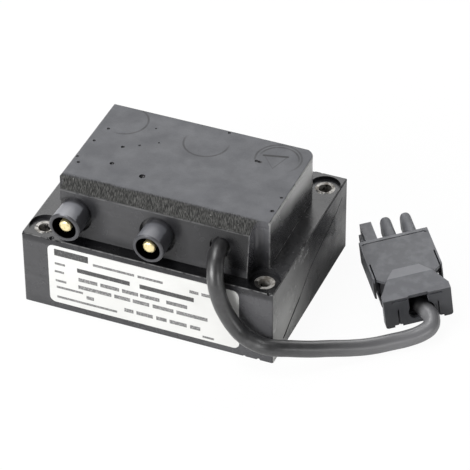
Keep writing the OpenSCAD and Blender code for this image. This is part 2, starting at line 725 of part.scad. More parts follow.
// Contact carrier: front flange with three fingers, pockets for the terminals, and the tail under the cable
module plug_contact_carrier() {
    pocket = terminal_w / 2 + 0.1;
    color("#636467") at_plug() difference() {
        union() {
            span([-carrier_w / 2, carrier_rear, carrier_low], [carrier_w / 2, hood_len + 0.1, carrier_high]);
            span([-hood_front_w / 2, hood_len, skirt_h], [hood_front_w / 2, finger_root, hood_h]);
            span([-keel_w / 2, hood_len, 0.4], [keel_w / 2, finger_root, skirt_h + over]);
            span([-tail_w / 2, tail_rear, hood_wall], [tail_w / 2, carrier_rear + over, tail_top]);
            finger(-finger_pitch, true);
            finger(0, false);
            finger(finger_pitch, false);
            // Key rib beside the square finger
            span([-finger_pitch - finger_w / 2 - 1.3, hood_len, hood_h / 2 - 1.5],
                [-finger_pitch, finger_tip - 3.6, hood_h / 2 + 1.5]);
        }
        for (i = [-1, 0, 1]) translate([i * finger_pitch, 0, 0]) {
            span([-pocket, terminal_rear - 0.1, terminal_low - 0.1],
                [pocket, terminal_rear + terminal_len + 0.1, hood_h]);
            translate([0, finger_tip + over, hood_h / 2]) rotate([90, 0, 0])
                cylinder(d = contact_d, h = finger_tip - terminal_rear + over, $fn = 32);
            translate([0, terminal_rear, hood_h / 2]) rotate([90, 0, 0])
                cylinder(d = conductor_d + 0.4, h = 4, $fn = 24);
        }
        for (side = [-1, 1]) translate([side * clamp_screw_u, clamp_a, hood_wall - over])
            cylinder(d = clamp_screw_d, h = tail_top, $fn = 24);
    }
}

// Contact: a sleeve in the finger and a screw terminal behind it
module plug_contact(i) {
    color("#cdb26a") at_plug() translate([i * finger_pitch, 0, 0]) difference() {
        union() {
            span([-terminal_w / 2, terminal_rear, terminal_low],
                [terminal_w / 2, terminal_rear + terminal_len, terminal_low + terminal_h]);
            translate([0, finger_tip - contact_recess, hood_h / 2]) rotate([90, 0, 0])
                cylinder(d = contact_d, h = finger_tip - contact_recess - terminal_rear - 1, $fn = 32);
        }
        translate([0, finger_tip + over, hood_h / 2]) rotate([90, 0, 0])
            cylinder(d = contact_bore, h = finger_len + 3 + over, $fn = 32);
        translate([0, terminal_rear + 6, hood_h / 2]) rotate([90, 0, 0])
            cylinder(d = conductor_d, h = 6 + over, $fn = 24);
        translate([0, terminal_rear + 3, hood_h / 2 + conductor_d / 2])
            cylinder(d = terminal_screw_d, h = terminal_h, $fn = 24);
    }
}

module plug_contact_live() plug_contact(1);
module plug_contact_earth() plug_contact(0);
module plug_contact_neutral() plug_contact(-1);

// A small slotted screw that points down, its head resting at z = 0
module slotted_screw(d, reach, head_d, head_h) {
    difference() {
        union() {
            translate([0, 0, -reach]) cylinder(d = d, h = reach + head_h, $fn = 24);
            cylinder(d = head_d, h = head_h, $fn = 24);
        }
        translate([-head_d, -0.25, head_h - 0.6]) cube([2 * head_d, 0.5, 1]);
    }
}

// Three terminal screws, which clamp the conductors
module plug_terminal_screws() {
    color("#b9bbbd") at_plug() for (i = [-1, 0, 1])
        translate([i * finger_pitch, terminal_rear + 3, terminal_low + terminal_h])
            slotted_screw(terminal_screw_d, terminal_h / 2 - conductor_d / 2, 4, 1.4);
}

// Three conductors from the end of the sheath into the terminals
module plug_conductors() {
    color("#7a5a3a") at_plug() for (i = [-1, 0, 1]) {
        u = conductor_ring * sin(120 * i);
        h = cable_h + conductor_ring * cos(120 * i);
        wire([[u, sheath_end_a + 0.2, h], [u, sheath_end_a + 2.2, h], [i * finger_pitch, 15.2, hood_h / 2],
            [i * finger_pitch, terminal_rear + 6, hood_h / 2]], conductor_d - 0.2);
    }
}

// Saddle that holds the cable down on the carrier's tail
module plug_cable_clamp() {
    top = cable_h + cable_d / 2 + clamp_t;
    color("#4c4d50") at_plug() difference() {
        span([-tail_w / 2, clamp_a - clamp_len / 2, tail_top], [tail_w / 2, clamp_a + clamp_len / 2, top]);
        translate([0, clamp_a + clamp_len, cable_h]) rotate([90, 0, 0])
            cylinder(d = cable_d + 0.6, h = 2 * clamp_len);
        span([-cable_d / 2 - 0.3, 0, 0], [cable_d / 2 + 0.3, clamp_a + clamp_len, cable_h]);
        for (side = [-1, 1]) translate([side * clamp_screw_u, clamp_a, 0])
            cylinder(d = clamp_screw_d, h = top + over, $fn = 24);
        for (side = [-1, 1]) translate([side * clamp_screw_u, clamp_a, top - 1.2])
            cylinder(d = 3.4, h = 1.2 + over, $fn = 24);
    }
}

// Two screws that pull the clamp down
module plug_clamp_screws() {
    top = cable_h + cable_d / 2 + clamp_t;
    color("#b9bbbd") at_plug() for (side = [-1, 1]) translate([side * clamp_screw_u, clamp_a, top - 1.2])
        slotted_screw(clamp_screw_d, top - 1.2 - hood_wall, 3.2, 1.1);
}

cast_body();
mounting_sleeves();
hv_tower(tower_left_x);  // hv_tower_left
hv_tower(tower_right_x);  // hv_tower_right
hv_pin(tower_left_x);  // hv_pin_left
hv_pin(tower_right_x);  // hv_pin_right
hv_lead_left();
hv_lead_right();
secondary_bobbin_left();
secondary_bobbin_right();
secondary_winding_left();
secondary_winding_right();
primary_bobbin();
primary_winding();
core_u_stack();
core_yoke_stack();
magnetic_shunt();
live_lead();
neutral_lead();
earth_lead();
rating_label();
mains_cable();
plug_housing();
plug_contact_carrier();
plug_contact_live();
plug_contact_earth();
plug_contact_neutral();
plug_terminal_screws();
plug_conductors();
plug_cable_clamp();
plug_clamp_screws();
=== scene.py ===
# Ignition transformer for an oil or gas burner, with its short mains cable and three-finger plug.
# After camera and light, the sections follow the object as it is put together: core, coils,
# leads, mains cable, towers, sleeves, the resin cast round them, the label, and last the plug.
import math

import bmesh
import bpy
from mathutils import Matrix, Vector


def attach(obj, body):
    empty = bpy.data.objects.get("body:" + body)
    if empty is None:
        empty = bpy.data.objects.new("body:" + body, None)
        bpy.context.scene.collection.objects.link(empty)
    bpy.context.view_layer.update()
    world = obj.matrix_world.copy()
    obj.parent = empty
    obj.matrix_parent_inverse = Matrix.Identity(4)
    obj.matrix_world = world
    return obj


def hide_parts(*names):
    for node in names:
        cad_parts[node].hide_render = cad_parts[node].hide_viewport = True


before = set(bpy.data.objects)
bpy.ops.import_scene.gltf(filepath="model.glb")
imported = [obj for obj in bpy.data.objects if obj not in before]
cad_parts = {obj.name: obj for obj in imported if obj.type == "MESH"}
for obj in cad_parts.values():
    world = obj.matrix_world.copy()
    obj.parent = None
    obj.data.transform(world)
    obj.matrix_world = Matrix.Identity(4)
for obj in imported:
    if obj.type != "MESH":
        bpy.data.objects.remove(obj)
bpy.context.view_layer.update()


# Camera. It stands to the front right of the transformer and looks down on it from far away,
# through a long lens.
camera_right, camera_up = (0.92481, 0.38037, -0.00633), (-0.22935, 0.57077, 0.78844)
camera_back = (0.30351, -0.72770, 0.61509)
camera_place = (0.3725, -0.8437, 0.7376)
camera = bpy.data.objects.new("camera", bpy.data.cameras.new("camera"))
camera.data.sensor_width = 36
camera.data.lens = 226.96
camera.data.clip_start, camera.data.clip_end = 0.01, 50
camera.matrix_world = Matrix([*zip(camera_right, camera_up, camera_back, camera_place), (0, 0, 0, 1)])
bpy.context.scene.collection.objects.link(camera)
bpy.context.scene.camera = camera


# Table and light. A white sheet under the object, large soft lamps and a dim, even room. The
# camera alone sees sheet and room as plain white, and the sheet keeps the object's soft shadow.
class Finish:
    """A finish in the making: its shader, and the piece's own places in millimetres."""

    def __init__(self, name, colour, roughness, metal=0.0, specular=0.5, coat=0.0, coat_roughness=0.1):
        self.material = bpy.data.materials.new(name)
        self.material.use_nodes = True
        self.tree = self.material.node_tree
        self.shader = self.tree.nodes["Principled BSDF"]
        self.set("Base Color", self.tint(colour))
        self.set("Roughness", roughness)
        self.set("Metallic", metal)
        self.set("Specular IOR Level", specular)
        self.set("Coat Weight", coat)
        self.set("Coat Roughness", coat_roughness)
        self.relief = None
        spot = self.node("ShaderNodeTexCoord")
        self.place = self.vector("SCALE", spot.outputs["Object"], scale=1000.0)
        self.facing = spot.outputs["Normal"]

    def set(self, socket, value):
        """Sets a socket of the shader, or leads a pattern into it."""
        self.feed(self.shader.inputs[socket], value)

    def node(self, kind, **settings):
        made = self.tree.nodes.new(kind)
        for name, value in settings.items():
            setattr(made, name, value)
        return made

    def feed(self, socket, value):
        if isinstance(value, bpy.types.NodeSocket):
            self.tree.links.new(value, socket)
        else:
            socket.default_value = value

    def tint(self, colour):
        """A colour written as #rrggbb, the way it looks on a screen."""
        parts = [int(colour[i:i + 2], 16) / 255 for i in (1, 3, 5)]
        return [c / 12.92 if c <= 0.04045 else ((c + 0.055) / 1.055) ** 2.4 for c in parts] + [1.0]

    def math(self, kind, a, b=0.0, clamp=False):
        made = self.node("ShaderNodeMath", operation=kind, use_clamp=clamp)
        self.feed(made.inputs[0], a)
        self.feed(made.inputs[1], b)
        return made.outputs[0]

    def vector(self, kind, a, b=(0, 0, 0), scale=None):
        made = self.node("ShaderNodeVectorMath", operation=kind)
        self.feed(made.inputs[0], a)
        if scale is None:
            self.feed(made.inputs[1], b)
        else:
            self.feed(made.inputs[3], scale)
        return made.outputs["Value" if kind in ("LENGTH", "DISTANCE", "DOT_PRODUCT") else "Vector"]

    def axis(self, name, of=None):
        made = self.node("ShaderNodeSeparateXYZ")
        self.feed(made.inputs[0], self.place if of is None else of)
        return made.outputs[name]

    def step(self, value, start, end):
        """0 before start and 1 after end, soft in between."""
        made = self.node("ShaderNodeMapRange", interpolation_type="SMOOTHSTEP")
        self.feed(made.inputs["Value"], value)
        self.feed(made.inputs["From Min"], start)
        self.feed(made.inputs["From Max"], end)
        return made.outputs["Result"]

    def both(self, *masks):
        found = masks[0]
        for mask in masks[1:]:
            found = self.math("MULTIPLY", found, mask)
        return found

    def either(self, *masks):
        found = masks[0]
        for mask in masks[1:]:
            found = self.math("MAXIMUM", found, mask)
        return found

    def less(self, mask, other):
        return self.both(mask, self.math("SUBTRACT", 1.0, other))

    def add(self, a, b, clamp=False):
        return self.math("ADD", a, b, clamp)

    def times(self, value, factor):
        return self.math("MULTIPLY", value, factor)

    def grain(self, size, detail=3.0, rough=0.55, stretch=(1, 1, 1), of=None, shift=0.0):
        """Cloudy noise with features of about this size in millimetres, around 0.5."""
        made = self.node("ShaderNodeTexNoise")
        where = self.vector("MULTIPLY", self.place if of is None else of, [1 / (size * s) for s in stretch])
        self.feed(made.inputs["Vector"], self.vector("ADD", where, (shift, shift, shift)))
        self.feed(made.inputs["Scale"], 1.0)
        self.feed(made.inputs["Detail"], detail)
        self.feed(made.inputs["Roughness"], rough)
        return made.outputs[0]

    def sway(self, size, detail):
        """Cloudy noise around 0."""
        return self.math("SUBTRACT", self.grain(size, detail), 0.5)

    def near(self, spot, full, none, of=None):
        """1 within the first distance of a spot in millimetres, and 0 past the second."""
        return self.step(self.vector("DISTANCE", self.place if of is None else of, spot), none, full)

    def blend(self, amount, under, over):
        """One colour over another, by a mask."""
        made = self.node("ShaderNodeMix", data_type="RGBA")
        self.feed(made.inputs[0], amount)
        self.feed(made.inputs[6], self.tint(under) if isinstance(under, str) else under)
        self.feed(made.inputs[7], self.tint(over) if isinstance(over, str) else over)
        return made.outputs[2]

    def level(self, amount, low, high):
        """A number between two levels, by a mask."""
        made = self.node("ShaderNodeMapRange")
        self.feed(made.inputs["Value"], amount)
        self.feed(made.inputs["To Min"], low)
        self.feed(made.inputs["To Max"], high)
        return made.outputs["Result"]

    def bump(self, height, depth):
        """Relief whose height from 0 to 1 is this many millimetres deep."""
        made = self.node("ShaderNodeBump")
        self.feed(made.inputs["Strength"], 1.0)
        self.feed(made.inputs["Distance"], depth / 1000)
        self.feed(made.inputs["Height"], height)
        if self.relief is not None:
            self.feed(made.inputs["Normal"], self.relief)
        self.relief = made.outputs[0]
        self.set("Normal", self.relief)

    def stroke(self, a, b, full, none, where=None):
        """1 within the first distance of a straight stroke between two points, 0 past the second."""
        middle = [(p + q) / 2 for p, q in zip(a, b)]
        made = self.node("ShaderNodeMapping", vector_type="TEXTURE")
        self.feed(made.inputs["Vector"], self.place if where is None else where)
        self.feed(made.inputs["Location"], (middle[0], middle[1], 0))
        self.feed(made.inputs["Rotation"], (0, 0, math.atan2(b[1] - a[1], b[0] - a[0])))
        along = self.math("ABSOLUTE", self.axis("X", made.outputs[0]))
        along = self.math("MAXIMUM", self.math("SUBTRACT", along, math.dist(a, b) / 2), 0.0)
        across = self.axis("Y", made.outputs[0])
        apart = self.add(self.math("POWER", along, 2.0), self.math("POWER", across, 2.0))
        return self.step(self.math("SQRT", apart), none, full)


sheet_glow = 0.95
room_light = 0.15

sheet_paper = Finish("table_paper", "#f2f2f2", 0.9, specular=0.1)
rays = sheet_paper.node("ShaderNodeLightPath")
glow = sheet_paper.node("ShaderNodeEmission")
mixed = sheet_paper.node("ShaderNodeMixShader")
sheet_paper.feed(mixed.inputs[0], sheet_paper.times(rays.outputs["Is Camera Ray"], sheet_glow))
sheet_paper.tree.links.new(sheet_paper.shader.outputs[0], mixed.inputs[1])
sheet_paper.tree.links.new(glow.outputs[0], mixed.inputs[2])
sheet_paper.tree.links.new(mixed.outputs[0], sheet_paper.tree.nodes["Material Output"].inputs["Surface"])
table_mesh = bmesh.new()
bmesh.ops.create_grid(table_mesh, x_segments=2, y_segments=2, size=4)
table = bpy.data.objects.new("table", bpy.data.meshes.new("table"))
table_mesh.to_mesh(table.data)
table_mesh.free()
table.data.materials.append(sheet_paper.material)
bpy.context.scene.collection.objects.link(table)

world = bpy.data.worlds.new("room")
bpy.context.scene.world = world
world.use_nodes = True
room = world.node_tree
rays = room.nodes.new("ShaderNodeLightPath")
lit = room.nodes["Background"]
lit.inputs["Color"].default_value = (1, 1, 1, 1)
lit.inputs["Strength"].default_value = room_light
white = room.nodes.new("ShaderNodeBackground")
white.inputs["Color"].default_value = (1, 1, 1, 1)
white.inputs["Strength"].default_value = 1.0
choice = room.nodes.new("ShaderNodeMixShader")
room.links.new(rays.outputs["Is Camera Ray"], choice.inputs[0])
room.links.new(lit.outputs[0], choice.inputs[1])
room.links.new(white.outputs[0], choice.inputs[2])
room.links.new(choice.outputs[0], room.nodes["World Output"].inputs["Surface"])
bpy.context.scene.view_settings.view_transform = "Standard"


def lamp(name, place, aim, size, power):
    light = bpy.data.lights.new(name, "AREA")
    light.shape = "RECTANGLE"
    light.size, light.size_y = size
    light.energy = power
    made = bpy.data.objects.new(name, light)
    made.location = place
    made.rotation_mode = "QUATERNION"
    made.rotation_quaternion = (Vector(aim) - Vector(place)).to_track_quat("-Z", "Y")
    bpy.context.scene.collection.objects.link(made)


lamp("front_left", (-0.5, -1.02, 0.52), (0, 0, 0.03), (0.8, 0.55), 18)
lamp("back", (-0.4, 1.16, 0.86), (0, 0, 0.04), (1.9, 0.8), 15)
lamp("overhead", (-0.35, -0.1, 1.3), (0, 0, 0.03), (0.6, 0.6), 9)
lamp("right", (1.1, -0.55, 0.34), (0, 0, 0.03), (0.4, 0.4), 2.4)


# Core. Silicon steel sheets stacked to a U with a straight yoke, and a thinner packet as the
# magnetic shunt between the coils. The cut edges show as fine lines in the stack's height.
def dress(node, finish):
    """Gives a piece of the frame its finish."""
    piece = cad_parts[node]
    piece.data.materials.clear()
    piece.data.materials.append(finish.material)


def lamination_finish(name, colour):
    made = Finish(name, colour, 0.42, metal=0.9)
    sheets = made.math("FRACT", made.times(made.axis("Z"), 2.0))
    gap = made.step(made.math("ABSOLUTE", made.math("SUBTRACT", sheets, 0.5)), 0.36, 0.47)
    side = made.step(made.math("ABSOLUTE", made.axis("Z", made.facing)), 0.7, 0.3)
    blued = made.blend(made.step(made.grain(4, 3), 0.4, 0.65), colour, "#3f4a5c")
    made.set("Base Color", made.blend(made.both(gap, side), blued, "#232427"))
    made.set("Roughness", made.level(made.grain(1.2, 3), 0.3, 0.62))
    made.bump(made.both(gap, side), -0.06)
    return made


core_steel = lamination_finish("core_steel", "#868a91")
dress("core_u_stack", core_steel)
dress("core_yoke_stack", core_steel)
dress("magnetic_shunt", lamination_finish("shunt_steel", "#9a9da3"))


# Coils. Cream nylon bobbins slide on the legs, and enamelled copper is wound on them in layers
# from flange to flange. Varnish makes the turns shine.
bobbin_nylon = Finish("bobbin_nylon", "#d9d2bf", 0.48, specular=0.45)
bobbin_nylon.set("Base Color", bobbin_nylon.blend(bobbin_nylon.grain(6, 3), "#cfc6ae", "#e2dccb"))
bobbin_nylon.set("Roughness", bobbin_nylon.level(bobbin_nylon.grain(1.5, 3), 0.38, 0.58))
bobbin_nylon.bump(bobbin_nylon.grain(0.3, 2), 0.015)
for node in ("primary_bobbin", "secondary_bobbin_left", "secondary_bobbin_right"):
    dress(node, bobbin_nylon)


def winding_finish(name, turn):
    """Turns of wire side by side along X, a turn this many millimetres apart."""
    made = Finish(name, "#a8582c", 0.3, metal=0.85, coat=0.5, coat_roughness=0.15)
    wander = made.times(made.sway(3, 2), 0.25 * turn)
    along = made.math("DIVIDE", made.add(made.axis("X"), wander), turn)
    valley = made.math("ABSOLUTE", made.math("SUBTRACT", made.math("FRACT", along), 0.5))
    crown = made.math("SQRT", made.math("SUBTRACT", 0.26, made.math("POWER", valley, 2.0), clamp=True))
    # Painted shade: the creases between the turns are painted darker
    made.set("Base Color", made.blend(made.step(valley, 0.3, 0.5), "#b8642f", "#4a2312"))
    made.set("Roughness", made.level(made.grain(2, 3), 0.2, 0.42))
    made.bump(crown, 0.3 * turn)
    return made


dress("primary_winding", winding_finish("primary_copper", 0.6))
fine_copper = winding_finish("secondary_copper", 0.25)
dress("secondary_winding_left", fine_copper)
dress("secondary_winding_right", fine_copper)


# Leads. Silicone-covered leads run from the secondaries to the pins, and the three PVC-covered
# conductors of the cable run to the primary and to the core.
def lead_finish(name, dark, light, shine):
    made = Finish(name, dark, shine, specular=0.5)
    made.set("Base Color", made.blend(made.grain(3, 3), dark, light))
    made.set("Roughness", made.level(made.grain(1, 3), shine - 0.08, shine + 0.1))
    made.bump(made.grain(0.4, 2), 0.02)
    return made


red_silicone = lead_finish("red_silicone", "#a33e27", "#bd5236", 0.5)
dress("hv_lead_left", red_silicone)
dress("hv_lead_right", red_silicone)
brown_pvc = lead_finish("brown_pvc", "#5f3920", "#75492c", 0.36)
dress("live_lead", brown_pvc)
dress("neutral_lead", lead_finish("blue_pvc", "#27549b", "#3768b2", 0.36))
dress("earth_lead", lead_finish("green_pvc", "#4f8e30", "#69a844", 0.36))


# Mains cable. Round sheath of black soft PVC, extruded over three conductors, so it is smooth
# and glossy with faint drag marks. It leaves the resin straight and ends in the plug's clamp.
cable_diameter = 6.6
plug_mouth = (96, 6, 7.5)
cable_points = [
    (28, -18, 44.5), (28, -25, 44.5), (28, -32.5, 44.5), (28.4, -36.8, 43.8), (29.4, -40.8, 41.2),
    (30.5, -43.4, 37.4), (31.6, -44.2, 33), (33, -44.4, 28.2), (35.2, -44.4, 23.2), (38.4, -44.4, 18.2),
    (42.4, -44.5, 14.4), (47, -44.5, 12.4), (52.5, -43.9, 11.4), (59.5, -40.1, 10), (66.2, -35.2, 8),
    (72.1, -30.1, 6.2), (79.1, -25.2, 4.8), (85.6, -20, 3.8), (91.2, -15.1, 3.6), (97.6, -9.9, 4),
    (101.3, -6.4, 4.9), (103.2, -3.3, 5.9), (103.1, -0.9, 6.8), (101.7, 1.4, 7.5), (99.5, 3.2, 7.8),
    (97.1, 5, 7.7), (95, 6.3, 7.5), (93.4, 7.6, 7.4), (91.6, 9.8, 7.4), (89.6, 12.7, 7.4)]

sheath_pvc = Finish("sheath_pvc", "#242425", 0.4, specular=0.6, coat=0.5, coat_roughness=0.38)
drag = sheath_pvc.grain(2.2, 3)
# Painted sheen: the sheath is painted paler towards the plug
sheen_toward_plug = sheath_pvc.add(sheath_pvc.axis("X"), sheath_pvc.times(sheath_pvc.grain(14, 3), 10.0))
sheath_skin = sheath_pvc.blend(sheath_pvc.step(drag, 0.35, 0.7), "#1b1b1c", "#29292a")
sheath_skin = sheath_pvc.blend(sheath_pvc.step(sheen_toward_plug, 60, 108), sheath_skin, "#646466")
# Painted shade: the sheath is painted near black inside the plug's mouth
mouth_shade = sheath_pvc.near(plug_mouth, 4, 7.5)
sheath_pvc.set("Base Color", sheath_pvc.blend(mouth_shade, sheath_skin, "#131314"))
sheath_pvc.set("Roughness", sheath_pvc.level(sheath_pvc.grain(5, 4), 0.32, 0.46))
sheath_pvc.bump(sheath_pvc.grain(0.5, 2), 0.01)
sheath_pvc.bump(sheath_pvc.grain(9, 1), 0.2)

cable_line = bpy.data.curves.new("mains_cable_sheath", "CURVE")
cable_line.dimensions = "3D"
cable_line.resolution_u = 6
cable_line.bevel_depth = cable_diameter / 2000
cable_line.bevel_resolution = 8
cable_line.use_fill_caps = True
run = cable_line.splines.new("BEZIER")
run.bezier_points.add(len(cable_points) - 1)
for knot, point in zip(run.bezier_points, cable_points):
    knot.co = Vector(point) / 1000
    knot.handle_left_type = knot.handle_right_type = "AUTO"
mains_cable = bpy.data.objects.new("mains_cable_sheath", cable_line)
bpy.context.scene.collection.objects.link(mains_cable)
cable_line.materials.append(sheath_pvc.material)
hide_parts("mains_cable")
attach(mains_cable, "root")


# High-voltage towers. Turned or moulded tubes of black thermoset, each with a domed brass pin
# that stands just inside the mouth. The cap of the ignition lead slides over the tower.
tower_left_x, tower_right_x, tower_z = -32.8, 2.2, 42.7
tower_bore_radius = 5.0

tower_plastic = Finish("tower_plastic", "#232427", 0.4, specular=0.5)
tower_x, tower_y = tower_plastic.axis("X"), tower_plastic.axis("Y")
rubbed = tower_plastic.step(tower_plastic.grain(3.5, 4), 0.45, 0.72)
lip = tower_plastic.step(tower_y, -41.3, -42.0)
# The upper side of each tower is paler: partly dust, partly a painted highlight. The left tower's top is
# painted lighter still, as painted light.
upwards = tower_plastic.add(tower_plastic.axis("Z", tower_plastic.facing),
                            tower_plastic.times(tower_plastic.sway(2.5, 4), 0.25))
tower_top_dust_and_highlight = tower_plastic.both(tower_plastic.step(upwards, 0.64, 0.74),
                                 tower_plastic.step(tower_y, -32.4, -34.2))
tower_top_dust_and_highlight_colour = tower_plastic.blend(tower_plastic.step(tower_x, -14, -20), "#5e5f64", "#78797e")
worn_tower = tower_plastic.either(tower_plastic.both(rubbed, 0.6), tower_plastic.both(lip, 0.25))
tower_skin = tower_plastic.blend(worn_tower, "#353538", "#424347")
tower_skin = tower_plastic.blend(tower_top_dust_and_highlight, tower_skin, tower_top_dust_and_highlight_colour)
# Painted shade: the bore inside each mouth is near black, and black rough metal so that it shows no
# reflection
bore_shade = 0.0
for middle_x in (tower_left_x, tower_right_x):
    off_axis = tower_plastic.vector("SUBTRACT", tower_plastic.place, (middle_x, 0, tower_z))
    off_axis = tower_plastic.vector("LENGTH", tower_plastic.vector("MULTIPLY", off_axis, (1, 0, 1)))
    in_one = tower_plastic.step(off_axis, tower_bore_radius + 0.4, tower_bore_radius + 0.1)
    bore_shade = tower_plastic.either(bore_shade, in_one)
bore_shade = tower_plastic.both(bore_shade, tower_plastic.step(tower_y, -42.2, -41.4))
tower_plastic.set("Base Color", tower_plastic.blend(bore_shade, tower_skin, "#030303"))
tower_gloss = tower_plastic.level(tower_plastic.grain(1.3, 4), 0.3, 0.46)
tower_plastic.set("Roughness", tower_plastic.either(tower_gloss, bore_shade))
tower_plastic.set("Metallic", bore_shade)
tower_plastic.bump(tower_plastic.grain(0.35, 2), 0.02)
dress("hv_tower_left", tower_plastic)
dress("hv_tower_right", tower_plastic)

pin_brass = Finish("pin_brass", "#e3cf98", 0.28, metal=0.85)
tarnish = pin_brass.step(pin_brass.grain(0.9, 3), 0.5, 0.8)
pin_brass.set("Base Color", pin_brass.blend(tarnish, "#e2d4a6", "#b9a268"))
pin_brass.set("Roughness", pin_brass.level(pin_brass.grain(0.7, 3), 0.22, 0.5))
pin_brass.bump(pin_brass.grain(0.25, 3), 0.015)
dress("hv_pin_left", pin_brass)
dress("hv_pin_right", pin_brass)


# Mounting sleeves. Four cut lengths of zinc-plated steel tube, cast into the corners of the base.
# Their ends are turned, dull, and stained where resin crept over them.
resin_tongue = (43.4, -34.6, 32.1)

zinc_steel = Finish("zinc_steel", "#a3a19d", 0.55, metal=0.45)
stain = zinc_steel.step(zinc_steel.grain(2.2, 4), 0.42, 0.66)
tongue = zinc_steel.add(zinc_steel.vector("DISTANCE", zinc_steel.place, resin_tongue),
                        zinc_steel.grain(1.2, 4))
crept = zinc_steel.either(zinc_steel.step(zinc_steel.grain(3.2, 4, shift=2.6), 0.56, 0.62),
                          zinc_steel.step(tongue, 3.2, 2.8))
stained = zinc_steel.blend(stain, "#b0aeaa", "#746f68")
zinc_steel.set("Base Color", zinc_steel.blend(crept, stained, "#2b2a29"))
zinc_steel.set("Roughness", zinc_steel.level(stain, 0.46, 0.7))
zinc_steel.bump(zinc_steel.grain(0.3, 3), 0.03)
dress("mounting_sleeves", zinc_steel)


# Cast block. Black filled epoxy, poured round the coils in an open mould. The top is ground flat
# and pale, the pouring edge in front is sawn off roughly, and the moulded faces are glossy.
block_right_x, block_front_y, block_top_z, ledge_z = 52.5, -39.75, 55.0, 33.5
upper_right_x, notch_x = 45.25, 39.65
band_back_y, band_foot_z = -24.3, 52.5
saw_slant = -22

resin = Finish("cast_resin", "#252527", 0.2, specular=0.36)
x, y, z = (resin.axis(a) for a in "XYZ")
nx, ny, nz = (resin.axis(a, resin.facing) for a in "XYZ")
waver = resin.sway(2.5, 3)
wander = resin.sway(22, 2)
fine = resin.grain(0.45, 3)
cloud = resin.grain(7, 4)
patchy = resin.grain(3.2, 5, rough=0.65)

# Ground top, sawn edge, ledges and the faces of the base, found by place and facing
top = resin.both(resin.step(z, block_top_z - 1.0, block_top_z - 0.7), resin.step(nz, 0.8, 0.95))
slant = resin.node("ShaderNodeMapping")
resin.feed(slant.inputs["Vector"], resin.place)
resin.feed(slant.inputs["Rotation"], (0, 0, math.radians(saw_slant)))
ticks = resin.grain(0.22, 1, stretch=(1, 8, 8), of=slant.outputs[0])
edge_y = resin.add(y, resin.add(resin.times(waver, 0.8), resin.times(wander, 2.0)))
edge_y = resin.add(edge_y, resin.times(ticks, 1.6))
low_z = resin.add(z, resin.times(waver, 0.9))
sawn = resin.both(resin.step(edge_y, band_back_y + 0.9, band_back_y - 0.9),
                  resin.step(low_z, band_foot_z - 0.3, band_foot_z - 0.05),
                  resin.step(nz, 0.5, 0.8))
top = resin.less(top, sawn)
ledge = resin.both(resin.step(z, ledge_z + 0.4, ledge_z + 0.1),
                   resin.step(z, ledge_z - 1.9, ledge_z - 1.6),
                   resin.step(nz, 0.5, 0.9))
right_face = resin.both(resin.step(x, block_right_x - 0.3, block_right_x - 0.05),
                        resin.step(nx, 0.5, 0.9))
front_face = resin.both(resin.step(y, block_front_y + 0.35, block_front_y + 0.05),
                        resin.step(ny, -0.5, -0.9))
upper_side = resin.both(resin.step(x, upper_right_x - 0.45, upper_right_x - 0.15),
                        resin.step(x, upper_right_x + 1.25, upper_right_x + 0.75),
                        resin.step(z, ledge_z - 0.3, ledge_z + 0.3))

# Faint rings and an arrow mark with a slot in the ground top. Each ring has its centre, radius,
# the axis along which it fades, where it is gone and where it is plain.
plan = resin.vector("MULTIPLY", resin.place, (1, 1, 0))
rings = 0.0
for centre, radius, fades_along, gone, plain in (
        ((-32.3, 15.8), 9.1, x, -35, -29), ((3.1, 13.8), 9.0, y, 17, 11),
        ((33.1, 14.4), 9.1, y, 6, 14), ((33.3, 14.1), 7.9, y, 13, 18)):
    away = resin.vector("DISTANCE", plan, (*centre, 0))
    off_ring = resin.math("ABSOLUTE", resin.math("SUBTRACT", away, radius))
    ring = resin.both(resin.step(off_ring, 0.62, 0.12), resin.step(fades_along, gone, plain))
    rings = resin.either(rings, ring)
marks = resin.either(
    resin.stroke((27.0, 14.6), (36.0, 16.8), 0.3, 0.8),
    resin.both(resin.stroke((27.4, 14.4), (33.2, 7.8), 0.1, 0.3), 0.35),
    resin.both(resin.stroke((35.9, 16.4), (33.2, 7.8), 0.1, 0.35), 0.5),
    resin.stroke((25.9, 10.1), (27.4, 9.9), 0.5, 0.85))
broken_rings = resin.both(rings, resin.level(resin.grain(3, 4, shift=4.0), 0.2, 1.2))
marks = resin.both(resin.either(broken_rings, marks), top)

# Insides of the bubbles in the top
pits = resin.both(resin.step(z, block_top_z - 1.1, block_top_z - 1.5),
                  resin.step(z, block_top_z - 5, block_top_z - 4),
                  resin.step(nz, 0.08, 0.2), resin.step(y, -22.5, -21))

# Marks on the right: a painted highlight on the ridge along the fold, a painted highlight at the foot of
# the upper part, and chips on the edge of the ledge. Their points are (y, z) on the right face.
flat_right = resin.node("ShaderNodeCombineXYZ")
resin.feed(flat_right.inputs[0], y)
resin.feed(flat_right.inputs[1], z)
flat_right = flat_right.outputs[0]
fold = ((-9, 12.8), (-0.5, 17.8), (10.7, 20.9), (28, 24.9), (34, 28))
fold_highlight = resin.either(*(resin.stroke(a, b, 0.1, 0.45, flat_right) for a, b in zip(fold, fold[1:])))
fold_highlight = resin.both(fold_highlight, right_face, resin.step(resin.grain(2.2, 4, shift=3.1), 0.38, 0.62))
foot_highlight = resin.both(resin.stroke((-19.7, 34.2), (18.4, 35.0), 0.08, 0.3, flat_right), upper_side,
                      resin.step(resin.grain(4, 3, shift=1.7), 0.35, 0.6))
edge_chips = resin.both(resin.either(
    resin.stroke((-17.6, 30.4), (-16.2, 32.6), 0.2, 0.9, flat_right),
    resin.stroke((-12.5, 30.6), (-8.2, 33.2), 0.3, 1.5, flat_right),
    resin.stroke((-9.5, 27.4), (-3.6, 28.6), 0.3, 1.7, flat_right),
    resin.stroke((16.0, 11.4), (17.4, 13.8), 0.2, 0.8, flat_right)),
    resin.step(x, 51.2, 51.8), resin.step(resin.grain(0.9, 5, rough=0.7, shift=5.0), 0.45, 0.6))
